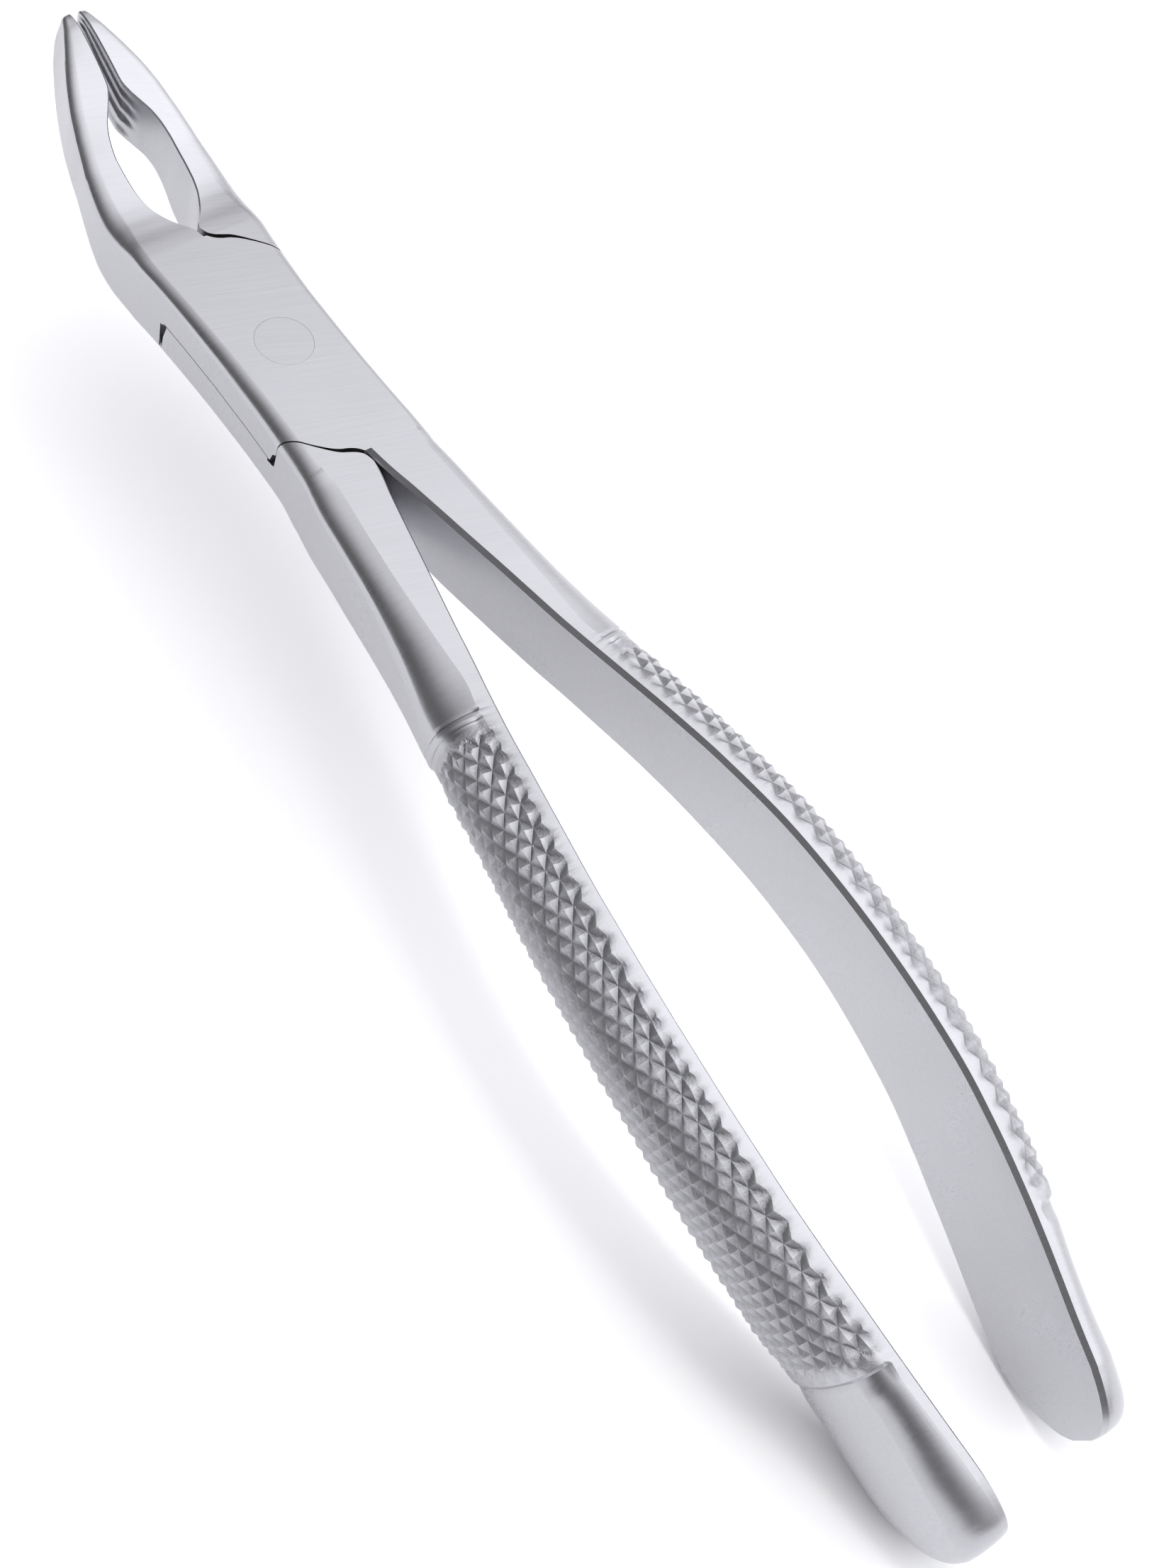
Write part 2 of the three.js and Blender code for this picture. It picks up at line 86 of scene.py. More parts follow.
# beak: y, inner x, outer x, front, drop, back inner, back outer, corner sizes, flare
BEAK = [
    [15.0, -0.20, 7.20, 0.00, 0.00, -9.00, -9.00, 1.35, 1.20, 1.20, 1.10, 0.00],
    [16.0, 0.08, 7.21, -0.02, 0.03, -9.00, -9.00, 1.38, 1.30, 1.20, 1.10, 0.02],
    [16.7, 0.45, 7.23, -0.05, 0.06, -9.00, -9.00, 1.45, 1.40, 1.20, 1.10, 0.04],
    [17.3, 0.95, 7.26, -0.09, 0.10, -9.00, -9.00, 1.55, 1.48, 1.22, 1.15, 0.06],
    [18.2, 1.62, 7.31, -0.13, 0.14, -9.00, -8.98, 1.75, 1.60, 1.30, 1.20, 0.08],
    [19.4, 2.30, 7.36, -0.13, 0.20, -8.98, -8.86, 1.92, 1.72, 1.45, 1.35, 0.12],
    [20.8, 2.88, 7.40, -0.02, 0.26, -8.85, -8.55, 2.00, 1.76, 1.65, 1.50, 0.16],
    [22.4, 3.20, 7.34, 0.28, 0.32, -8.50, -7.95, 1.92, 1.70, 1.85, 1.70, 0.20],
    [24.3, 3.30, 7.16, 0.80, 0.36, -7.75, -7.05, 1.80, 1.60, 2.00, 1.85, 0.22],
    [26.2, 3.30, 6.88, 1.42, 0.38, -6.30, -6.20, 1.70, 1.50, 2.10, 1.95, 0.22],
    [28.0, 3.06, 6.54, 2.28, 0.38, -4.70, -5.50, 1.60, 1.45, 2.15, 2.00, 0.24],
    [29.5, 2.56, 6.20, 3.05, 0.38, -3.70, -4.98, 1.55, 1.40, 2.20, 2.00, 0.28],
    [30.8, 1.78, 5.86, 3.75, 0.38, -3.00, -4.52, 1.50, 1.40, 2.25, 2.00, 0.30],
    [31.9, 1.12, 5.56, 4.35, 0.38, -2.45, -4.08, 1.50, 1.38, 2.25, 1.95, 0.32],
    [32.9, 0.72, 5.22, 4.92, 0.38, -2.05, -3.62, 1.48, 1.36, 2.25, 1.95, 0.36],
    [34.6, 0.63, 4.56, 5.78, 0.36, -1.30, -2.75, 1.42, 1.32, 2.15, 1.90, 0.46],
    [36.3, 0.58, 3.78, 6.48, 0.32, -0.30, -1.55, 1.30, 1.28, 1.95, 1.80, 0.62],
    [37.8, 0.54, 3.02, 7.02, 0.26, 0.85, -0.15, 1.15, 1.20, 1.70, 1.65, 0.78],
    [39.1, 0.50, 2.36, 7.36, 0.20, 2.20, 1.50, 0.98, 1.05, 1.35, 1.40, 0.86],
    [40.1, 0.48, 1.88, 7.42, 0.14, 3.50, 3.10, 0.80, 0.90, 0.95, 1.10, 0.72],
    [40.65, 0.47, 1.66, 7.34, 0.11, 4.40, 4.20, 0.70, 0.80, 0.72, 0.90, 0.42],
    [40.95, 0.50, 1.42, 7.12, 0.08, 5.20, 5.10, 0.52, 0.60, 0.50, 0.60, 0.16],
    [41.10, 0.62, 1.14, 6.86, 0.04, 5.80, 5.75, 0.28, 0.30, 0.26, 0.30, 0.00]]
LEFT_ROOT = [[15.0, 0.50], [18.2, 0.48], [20.8, 0.40], [24.3, 0.20], [28.0, 0.0]]

# knurling: size of one diamond, depth of the grooves, and where the knurling
# and the two collar lines before it lie (distance from the pivot)
KNURL_ALONG = 2.74        # length of one diamond along the handle
KNURL_ROUND = 1.96        # and round it
KNURL_DEPTH = 0.52
KNURL_CELLS = 12          # mesh steps in one diamond
KNURL_FROM = {-1: 47.2, 1: 46.4}
KNURL_TO = {-1: 112.9, 1: 110.0}
COLLAR = {-1: (45.09, 45.97), 1: (44.3, 45.18)}


# ------------------------------------------------------------------ curves
def smooth(xs, ys):
    """Monotone cubic through a table's columns (no overshoot between stations)."""
    xs, ys = np.asarray(xs, float), np.asarray(ys, float)
    if ys.ndim == 1:
        ys = ys[:, None]
    h = np.diff(xs)[:, None]
    d = np.diff(ys, axis=0) / h
    m = np.zeros_like(ys)
    w1, w2 = 2 * h[1:] + h[:-1], h[1:] + 2 * h[:-1]
    with np.errstate(divide="ignore", invalid="ignore"):
        mid = (w1 + w2) / (w1 / d[:-1] + w2 / d[1:])
    m[1:-1] = np.where(d[:-1] * d[1:] > 0, mid, 0.0)
    m[0], m[-1] = d[0], d[-1]

    def at(x):
        x = np.clip(np.atleast_1d(np.asarray(x, float)), xs[0], xs[-1])
        i = np.clip(np.searchsorted(xs, x, side="right") - 1, 0, len(xs) - 2)
        f = ((x - xs[i]) / (xs[i + 1] - xs[i]))[:, None]
        hh = (xs[i + 1] - xs[i])[:, None]
        return ((1 + 2 * f) * (1 - f) ** 2 * ys[i] + f * (1 - f) ** 2 * hh * m[i]
                + f * f * (3 - 2 * f) * ys[i + 1] + f * f * (f - 1) * hh * m[i + 1])
    return at


def col(rows, k):
    return [r[k] for r in rows]


def resample(points, marks):
    """Points of a polyline at the given lengths along it."""
    points = np.asarray(points)
    run = np.concatenate([[0], np.cumsum(np.hypot(*np.diff(points, axis=0).T))])
    return np.stack([np.interp(marks, run, points[:, k]) for k in range(2)], 1), run[-1]


def arc(x0, y0, x1, y1, x_first, n):
    a = np.linspace(0, math.pi / 2, n + 1)
    s, c = np.sin(a), 1 - np.cos(a)
    if x_first:
        return np.stack([x0 + (x1 - x0) * s, y0 + (y1 - y0) * c], 1)
    return np.stack([x0 + (x1 - x0) * c, y0 + (y1 - y0) * s], 1)


def unit(v):
    return v / np.linalg.norm(v, axis=-1, keepdims=True)


def bezier(p0, d0, d3, p3, n, pull=0.36):
    p0, p3 = np.array(p0, float), np.array(p3, float)
    reach = np.linalg.norm(p3 - p0) * pull
    p1 = p0 + np.array([math.cos(math.radians(d0)), -math.sin(math.radians(d0))]) * reach
    p2 = p3 - np.array([math.cos(math.radians(d3)), -math.sin(math.radians(d3))]) * reach
    f = np.linspace(0, 1, n + 1)[:, None]
    return (1 - f) ** 3 * p0 + 3 * f * (1 - f) ** 2 * p1 + 3 * f * f * (1 - f) * p2 + f ** 3 * p3


def shoulder(x0, z0, x1, z1, n, crease, tip=15.0, rim=60.0):
    """Front corner from the flat at (x0, z0) to the side at (x1, z1). crease 0 is a
    plain rounding; 1 is ground: it breaks off the flat at an angle, rolls over and
    meets the side at a crisp line."""
    plain = arc(x0, z0, x1, z1, True, 2 * n)
    a, b = abs(x1 - x0), abs(z1 - z0)
    ac = math.atan2(a * math.tan(math.radians(67)), b)
    c = np.array([x0 + (x1 - x0) * math.sin(ac), z0 + (z1 - z0) * (1 - math.cos(ac))])
    cut = np.concatenate([bezier([x0, z0], tip, rim, c, n), bezier(c, 79, 90, [x1, z1], n)[1:]])
    if crease <= 0:
        return plain
    # the plain rounding, sampled so that its points pair with the ground one's
    w = np.concatenate([np.linspace(0, ac, n + 1), np.linspace(ac, math.pi / 2, n + 1)[1:]])
    plain = np.stack([x0 + (x1 - x0) * np.sin(w), z0 + (z1 - z0) * (1 - np.cos(w))], 1)
    return plain * (1 - crease) + cut * crease


def step(x, a, b):
    t = np.clip((np.asarray(x, float) - a) / (b - a), 0, 1)
    return t * t * (3 - 2 * t)


def outer_edge(side):
    """Distance of the outer side from the middle, over the block, handle and beak."""
    neck = smooth(col(LEFT_NECK, 0), col(LEFT_NECK, 1))
    root = smooth(col(LEFT_ROOT, 0), col(LEFT_ROOT, 1))
    left = side < 0
    rows = [(r[0], r[1] + r[4] + (float(neck(r[0])[0, 0]) if left else 0.0)) for r in HANDLE[1:]]
    rows += [(r[0], -r[1] if left else r[2]) for r in JOINT]
    rows += [(r[0], r[2] + (float(root(r[0])[0, 0]) if left else 0.0)) for r in BEAK[1:]]
    return smooth(*zip(*sorted(rows)))


# ------------------------------------------------------------------ handle
def handle_grid(side):
    """Rows of points round the handle, with each point's place on the outer arc."""
    ys = [-y for y in col(HANDLE, 0)]
    table = smooth(ys, [r[1:] for r in HANDLE])
    outer = outer_edge(side)
    edge = np.array([[r[1], r[0], JOINT_T + r[2]] for r in HANDLE])
    tan = unit(np.array([edge[max(0, i - 1)] - edge[min(len(edge) - 1, i + 1)] for i in range(len(edge))]))
    tan[0] = [0, 1, 0]
    tan[1] = unit(tan[1] * 0.5 + np.array([0, 0.5, 0]))
    tangent = smooth(ys, tan)

    du = KNURL_ROUND / KNURL_CELLS
    ds = KNURL_ALONG / KNURL_CELLS
    rows = np.concatenate([
        np.arange(15.0, COLLAR[side][0] - 0.9, 0.66), np.arange(COLLAR[side][0] - 0.6, KNURL_FROM[side] - 0.06, 0.10),
        np.arange(KNURL_FROM[side], KNURL_TO[side] + 1.2, ds), np.arange(KNURL_TO[side] + 1.5, KNURL_TO[side] + 3.0, 0.3), np.arange(KNURL_TO[side] + 3.4, 124.7, 0.62), [125.0]])
    rows = rows[np.concatenate([[True], np.diff(rows) > 0.03])]
    length = 15.6                       # half of the columns' span round the arc
    marks0 = np.arange(-math.ceil(length / 2 / du * 1.32), math.ceil(length / 2 / du * 1.32) + 1) * du

    end = smooth(col(HANDLE_END, 0), [r[1:] for r in HANDLE_END])
    grid, place, kinds = [], [], []

    def loop(edge_at, tan_at, w, t, strip, cf, cb, p, front=0.0):
        cb = min(cb, w - cf - 0.04)
        first = 1.0 if side > 0 else 0.6 + 0.4 * float(step(p, 15.5, 28.0))
        crease = float(first * (1 - step(p, COLLAR[side][1] - 0.3, COLLAR[side][1] + 0.2)) + 0.85 * step(p, KNURL_TO[side] + 0.2, KNURL_TO[side] + 1.6))
        prof = np.concatenate([shoulder(strip, front, t, -cf, 16, crease), arc(t, -(w - cb), strip, -w, False, 24)])
        total = resample(prof, [0])[1]
        half = total / 2
        m = marks0.copy()
        margin = 0.30
        lim = half - margin
        over = np.abs(m) > lim
        n_over = max(1, int(over.sum() / 2))
        k = (np.abs(m[over]) - lim)
        kmax = marks0.max() - lim
        m[over] = np.sign(m[over]) * (lim + margin * k / kmax)
        m[0], m[-1] = -half, half
        pts, _ = resample(prof, m + half)
        e = min(0.46 if side > 0 else 0.18, t * 0.2, w * 0.2)
        inner = np.array([[e, -w], [0, -w + e], [0, -e], [e, front]])
        loop2 = np.concatenate([pts, inner])
        across = unit(np.cross([1, 0, 0], tan_at))
        out = unit(np.cross(tan_at, across))
        grid.append(edge_at + loop2[:, :1] * out + loop2[:, 1:] * across)
        place.append(np.concatenate([m, np.full(4, np.nan)]))
        kinds.append((p, half))

    # a first ring sunk inside the joint block, so that the two bodies merge cleanly
    v = table(15.0)[0]
    x_block = float(outer(-13.2)[0, 0])
    loop(np.array([v[0], -13.2, JOINT_T - 0.35]), np.array([0, 1.0, 0]), 8.3, x_block - v[0] - 0.35, 5.4, 1.1, 0.9, 13.2)
    for p in rows:
        v = table(p)[0]
        t = float(outer(-p)[0, 0]) - v[0]
        strip = v[4] + float(0.72 * step(p, 41.0, 47.0) * (1 - step(p, KNURL_TO[side] - 6, KNURL_TO[side] + 2)))
        soft = float(0.45 * (1 - step(p, 18.0, 32.0))) if side < 0 else 0.0
        loop(np.array([v[0], -p, JOINT_T + v[1]]), unit(tangent(p)[0]), v[2], t, strip - soft, v[5] + soft, v[6], p)
    last = HANDLE[-1]
    e0, t0 = edge[-1], unit(tangent(125.0)[0])
    across = unit(np.cross([1, 0, 0], t0))
    for d in np.concatenate([np.arange(0.5, 6.0, 0.5), np.arange(6.0, 7.51, 0.25)]):
        near, far, t, strip, cf, cb = end(d)[0]
        w = last[3] - near - far
        k = min(1, (w - 0.04) / (cf + cb))
        reach = d + (LEFT_LONGER if side < 0 else -RIGHT_SHORTER)
        if reach < 0.2:
            continue
        loop(e0 - t0 * reach - across * near, t0, w, t, strip, cf * k, cb * k, 125 + reach)
    g = np.array(grid)
    g[..., 0] *= side
    return g, np.array(place), np.array(kinds)


def groove(x):
    """0 on the diamonds' middle line, 1 in the bottom of the groove."""
    f = np.abs(x - np.round(x)) * 2
    return np.clip((f - 0.06) / 0.88, 0, 1)


def knurled(side):
    """The handle's skin with its collar lines and knurling cut into it."""
    g, place, kinds = handle_grid(side)
    n_rows, n_cols = g.shape[:2]
    # outward normals of the plain skin
    along = np.gradient(g, axis=0)
    around = (np.roll(g, -1, 1) - np.roll(g, 1, 1))
    normal = unit(np.cross(around, along) + 1e-12)
    centre = g.mean(axis=1, keepdims=True)
    if np.nanmean(np.sum(normal * (g - centre), -1)) < 0:
        normal = -normal
    p = kinds[:, 0][:, None]
    w = place
    arc_cols = ~np.isnan(place[0])
    start = KNURL_FROM[side]
    a = (p - start) / KNURL_ALONG
    b = np.where(np.isnan(w), 0, w) / KNURL_ROUND
    h = np.maximum(groove(a + b), groove(a - b))
    fade_end = 1 - step(p, KNURL_TO[side] - 1.4, KNURL_TO[side] - 0.1)
    # the skin steps down after the collar and the diamonds rise out of it
    low = 0.26 * step(p, COLLAR[side][1] - 0.1, COLLAR[side][1] + 0.45) * (1 - step(p, start, start + 3.2))
    cut = KNURL_DEPTH * h * step(p, start - 0.2, start + 0.5)
    depth = np.maximum(low, cut * fade_end)
    end = KNURL_TO[side] + 0.9                              # ledge where the knurling stops
    depth = np.maximum(depth, 0.30 * np.where(p < end, np.clip(1 - (end - p) / 0.35, 0, 1), np.clip(1 - (p - end) / 1.8, 0, 1)))
    for at in COLLAR[side]:
        depth = np.maximum(depth, low + 0.24 * np.clip(1.25 - np.abs(p - at) / 0.22, 0, 1))
    half = kinds[:, 1][:, None]
    near_edge = np.clip((half - np.abs(np.where(np.isnan(w), 99, w))) / 0.5, 0, 1)
    depth = np.where(arc_cols[None, :], depth, 0)
    # at the very edge the cut runs back into the flat strip instead of under it
    inward = unit(centre - g)
    edge_dir = g[:, [-1], :] - g[:, [n_cols - 5], :]
    first = arc_cols[None, :, None] * (1 - near_edge[..., None])
    to_strip = np.where((np.where(np.isnan(w), 0, w) < 0)[..., None],
                        unit(g[:, [-1], :] - g[:, [0], :]), unit(g[:, [-4], :] - g[:, [n_cols - 5], :]))
    direction = -normal * (1 - first) + to_strip * first
    # the foot shows plain steel
    return g + direction * depth[..., None], depth


def triangles(n_rows, n_cols, grid):
    """Corner indices of each cell of a ring grid, and a measure of the skin's bend across a diagonal."""
    i = np.arange(n_rows - 1)[:, None]
    j = np.arange(n_cols)[None, :]
    a = i * n_cols + j
    b = i * n_cols + (j + 1) % n_cols
    c, d = a + n_cols, b + n_cols
    flat = grid.reshape(-1, 3)
    # bend of the skin across each diagonal: the crease should lie on a diagonal
    def bend(p, q, r, s):           # triangles p q r and p r s
        n1 = unit(np.cross(flat[q] - flat[p], flat[r] - flat[p]) + 1e-15)
        n2 = unit(np.cross(flat[r] - flat[p], flat[s] - flat[p]) + 1e-15)
        return np.sum(n1 * n2, -1)
    return a, b, c, d, bend


def skin(grid, creases=None):
    n_rows, n_cols = grid.shape[:2]
    a, b, c, d, _ = triangles(n_rows, n_cols, grid)
    a, b, c, d = [x.ravel() for x in np.broadcast_arrays(a, b, c, d)]
    if creases is None:
        pick = np.ones(len(a), bool)
    else:
        # creases holds each cell's wanted diagonal: True for a-d
        pick = creases.ravel()
    tri = np.concatenate([
        np.where(pick[:, None], np.stack([a, b, d], 1), np.stack([a, b, c], 1)),
        np.where(pick[:, None], np.stack([a, d, c], 1), np.stack([b, d, c], 1))])
    flat = grid.reshape(-1, 3)
    k = len(flat)
    caps = []
    for row, flip in ((0, True), (n_rows - 1, False)):
        centre = flat[row * n_cols:(row + 1) * n_cols].mean(0)
        flat = np.concatenate([flat, centre[None]])
        aa = row * n_cols + np.arange(n_cols)
        bb = row * n_cols + (np.arange(n_cols) + 1) % n_cols
        cc = np.full(n_cols, k)
        caps.append(np.stack([cc, bb, aa] if flip else [cc, aa, bb], 1))
        k += 1
    tri = np.concatenate([tri] + caps)
    vol = np.einsum("ij,ij->i", flat[tri[:, 0]], np.cross(flat[tri[:, 1]], flat[tri[:, 2]])).sum()
    if vol < 0:
        tri = tri[:, ::-1]
    return flat, tri


def knurl_diagonals(depth):
    """True where the diagonal a-d follows the crease better than b-c."""
    h = depth
    a, b = h[:-1], np.roll(h, -1, 1)[:-1]
    c, d = h[1:], np.roll(h, -1, 1)[1:]
    return np.abs(a - d) <= np.abs(b - c)


# ------------------------------------------------------------------ beak and block
def beak_grid(side):
    ys = col(BEAK, 0)
    table = smooth(ys, [r[1:] for r in BEAK])
    outer = outer_edge(side)
    rows = np.concatenate([np.arange(15.0, 39.0, 0.3), np.arange(39.0, 40.6, 0.16), np.arange(40.6, 41.1, 0.06), [41.1]])
    n_in, grid = 49, []

    def loop(y, xi, t, front, drop, back_in, back_out, an, bn, af, bf, flare, cut):
        e = min(0.14, t * 0.2, (front - back_in) * 0.2)
        f = np.linspace(0, 1, n_in)
        z = (back_in + e) + (front - back_in - 2 * e) * f
        hollow = 0.22 * cut * np.sin(math.pi * f) ** 0.8
        teeth = 0.15 * cut * (0.5 - 0.5 * np.cos(2 * math.pi * f * 4)) * np.clip(4 * np.minimum(f, 1 - f) + 0.2, 0, 1)
        lo, hi = t * 0.3, 0
        u = np.clip(hollow + teeth, hi, lo)
        pts = np.concatenate([
            np.stack([u, z], 1), [[e, front]],
            shoulder(t - an, front - drop, t, front - drop - bn, 8, 1.0 - float(step(y, 38.5, 40.8))),
            arc(t + flare, back_out + bf, t + flare - af, back_out, False, 10), [[e, back_in]]])
        grid.append(np.stack([xi + pts[:, 0], np.full(len(pts), y), JOINT_T + pts[:, 1]], 1))

    v = table(15.0)[0]
    loop(13.2, v[0], float(outer(13.2)[0, 0]) - v[0] - 0.35, -0.35, 0, -8.65, -8.65, 1.2, 1.1, 1.1, 1.0, 0, 0)
    for y in rows:
        v = table(y)[0].copy()
        t = float(outer(y)[0, 0]) - v[0]
        cut = float(step(y, 30.4, 32.2) * (1 - step(y, 39.6, 40.9)))
        loop(y, v[0], t, *v[2:], cut)
    g = np.array(grid)
    g[..., 0] *= side
    return g


def block_grid():
    rows = []
    corners = {-15.0: ((2.03, 1.65, 1.58, 0.95), (1.20, 1.20, 1.20, 0.95)),
               15.0: ((1.35, 1.20, 1.20, 1.10), (1.35, 1.20, 1.20, 1.10))}
    xl, xr = outer_edge(-1), outer_edge(1)
    table = []
    for r in JOINT:
        cl, cr = corners.get(r[0], ((r[3],) * 4, (r[4],) * 4))
        table.append(list(cl) + list(cr))
    round_at = smooth(col(JOINT, 0), table)
    for y in np.linspace(-15, 15, 61):
        v = round_at(y)[0]
        lx, rx = float(xl(y)[0, 0]), float(xr(y)[0, 0])

        def side(x, an, bn, af, bf, crease=1.0):
            return np.concatenate([shoulder(x - an, JOINT_T, x, JOINT_T - bn, 8, crease), arc(x, bf, x - af, 0, False, 10)])
        right_side, left_side = side(rx, *v[4:]), side(lx, *v[:4], 0.6 + 0.4 * float(step(y, -4.0, 12.0)))
        pts = np.concatenate([right_side, (left_side * [-1, 1])[::-1]])
        rows.append(np.stack([pts[:, 0], np.full(len(pts), y), pts[:, 1]], 1))
    return np.array(rows)


# ------------------------------------------------------------------ lap joint
def catmull(line, n=4):
    line = np.asarray(line, float)
    out = []
    for i in range(len(line) - 1):
        p0, p1, p2, p3 = line[max(0, i - 1)], line[i], line[i + 1], line[min(len(line) - 1, i + 2)]
        for k in range(n):
            f = k / n
            out.append(0.5 * ((2 * p1) + (p2 - p0) * f + (2 * p0 - 5 * p1 + 4 * p2 - p3) * f * f
                              + (3 * p1 - p0 - 3 * p2 + p3) * f ** 3))
    out.append(line[-1])
    return np.array(out)


def offset(line, distance):
    a = np.concatenate([line[:1], line[:-1]])
    b = np.concatenate([line[1:], line[-1:]])
    t = unit(b[:, :2] - a[:, :2])
    return line[:, :2] + np.stack([-t[:, 1], t[:, 0]], 1) * np.asarray(distance)[:, None]


def lap_space(flip):
    """Outlines and heights of what belongs to the other half."""
    line = catmull(SEAM)
    close = offset(line, np.full(len(line), SEAM_HALF))
    far = offset(line, -line[:, 2])
    turn = lambda l: -l
    mirror = lambda l: l * [-1, 1]
    f = (lambda l: l) if flip > 0 else mirror
    mid, g = JOINT_T / 2, LAP_GAP / 2
    own = (mid - g, JOINT_T + 20) if flip > 0 else (-40, mid + g)
    other = (-40, mid + g) if flip > 0 else (mid - g, JOINT_T + 20)
    tail = lambda *p: np.array(p, float)
    return [
        (f(np.concatenate([close, tail([-14, -24], [-14, -7.7])])), own),
        (f(np.concatenate([turn(close), tail([14, 24], [14, 7.7])])), own),
        (f(np.concatenate([mirror(far), tail([-14, -24], [-14, 7.7]), mirror(turn(far)), tail([14, 24], [14, -7.7])])), other)]
#END GEOMETRY

# ------------------------------------------------------------------ meshes
import bmesh
import bpy
from mathutils import Matrix, kdtree

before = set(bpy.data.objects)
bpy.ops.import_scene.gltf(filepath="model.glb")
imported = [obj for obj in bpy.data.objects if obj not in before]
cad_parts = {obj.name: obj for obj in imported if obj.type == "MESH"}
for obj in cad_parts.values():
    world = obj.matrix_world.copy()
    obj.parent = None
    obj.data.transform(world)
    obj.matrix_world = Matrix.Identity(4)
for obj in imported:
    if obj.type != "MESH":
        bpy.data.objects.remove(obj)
cad_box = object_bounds()
scene = bpy.context.scene


def solid(name, flat, tri):
    me = bpy.data.meshes.new(name)
    me.vertices.add(len(flat))
    me.vertices.foreach_set("co", (np.asarray(flat) * 0.001).astype(np.float32).ravel())
    me.loops.add(len(tri) * 3)
    me.loops.foreach_set("vertex_index", np.asarray(tri).astype(np.int32).ravel())
    me.polygons.add(len(tri))
    me.polygons.foreach_set("loop_start", np.arange(len(tri), dtype=np.int32) * 3)
    me.update(calc_edges=True)
    ob = bpy.data.objects.new(name, me)
    scene.collection.objects.link(ob)
    return ob


def prism(name, outline, z0, z1):
    o = np.asarray(outline, float)
    area = np.sum(o[:, 0] * np.roll(o[:, 1], -1) - np.roll(o[:, 0], -1) * o[:, 1])
    if area < 0:
        o = o[::-1]
    n = len(o)
    me = bpy.data.meshes.new(name)
    verts = [(x * 0.001, y * 0.001, z0 * 0.001) for x, y in o] + [(x * 0.001, y * 0.001, z1 * 0.001) for x, y in o]
    faces = [tuple(range(n))[::-1], tuple(range(n, 2 * n))]
    faces += [(i, (i + 1) % n, (i + 1) % n + n, i + n) for i in range(n)]
    me.from_pydata(verts, [], faces)
    me.update()
    ob = bpy.data.objects.new(name, me)
    scene.collection.objects.link(ob)
    return ob


def disc(radius, n=128):
    a = np.arange(n) * 2 * math.pi / n
    return np.stack([np.cos(a), np.sin(a)], 1) * radius


def combine(ob, other, how):
    """Boolean of two closed bodies, kept in ob; other is used up."""
    m = ob.modifiers.new("b", "BOOLEAN")
    m.operation = how
    m.solver = "MANIFOLD"
    m.object = other
    dg = bpy.context.evaluated_depsgraph_get()
    me = bpy.data.meshes.new_from_object(ob.evaluated_get(dg))
    ob.modifiers.clear()
    old = ob.data
    ob.data = me
    bpy.data.meshes.remove(old)
    bpy.data.objects.remove(other, do_unlink=True)
    return ob


def wedge(name, yz, x0, x1):
    """Small prism along X over a (y, z) outline."""
    ob = prism(name, [(y, z) for y, z in yz], 0, 1)
    for v in ob.data.vertices:
        y, z, k = v.co
        v.co = ((x0 + (x1 - x0) * (k * 1000)) * 0.001, y, z)
    bm = bmesh.new()
    bm.from_mesh(ob.data)
    bmesh.ops.recalc_face_normals(bm, faces=bm.faces)
    bm.to_mesh(ob.data)
    bm.free()
    return ob


# relief at the corners of the lap, seen on the outer sides: y, z
RELIEF_UP = [(10.5, 4.10), (9.42, 4.62), (9.62, 3.6), (9.86, 2.4), (10.10, 1.0), (10.26, 1.1)]
RELIEF_LOW = [(-10.02, 6.2), (-9.50, 5.7), (-9.25, 4.62), (-8.85, 4.36), (-8.9, 4.12), (-9.85, 4.30), (-10.08, 4.60)]


def half(name, side, flip):
    """One forging: handle on this side, cheek, and the beak on the other side."""
    ob = solid(name, *skin(block_grid()))
    grid, depth = knurled(side)
    wide = depth > 0.35
    for k in range(1, 7):
        wide = wide | np.roll(wide, 1, 0) | np.roll(wide, -1, 0) | np.roll(wide, 1, 1) | np.roll(wide, -1, 1)
    area = np.where(np.arange(depth.shape[1])[None, :] < depth.shape[1] - 4, wide, False)
    cuts[side] = (grid.reshape(-1, 3), depth.ravel(), area.ravel().astype(float))
    combine(ob, solid("h", *skin(grid, knurl_diagonals(depth))), "UNION")
    combine(ob, solid("b", *skin(beak_grid(-side))), "UNION")
    for outline, (z0, z1) in lap_space(flip):
        combine(ob, prism("c", outline, z0, z1), "DIFFERENCE")
    for outline, x in ((RELIEF_UP, 6.72), (RELIEF_LOW, 6.45)):
        combine(ob, wedge("c", outline, -9.0, -x), "DIFFERENCE")
        combine(ob, wedge("c", [(-y, z) for y, z in outline], x - 0.4, 9.0), "DIFFERENCE")
    mid = JOINT_T / 2
    if flip > 0:
        combine(ob, prism("c", disc(SCREW_SHANK_R + BORE_GAP), mid - 3, JOINT_T + 3), "DIFFERENCE")
        combine(ob, prism("c", disc(SCREW_HEAD_R + BORE_GAP), JOINT_T - SCREW_HEAD_H - BORE_GAP, JOINT_T + 3), "DIFFERENCE")
    else:
        combine(ob, prism("c", disc(SCREW_SHANK_R + BORE_GAP), -3, mid + 3), "DIFFERENCE")
    return ob


cuts = {}


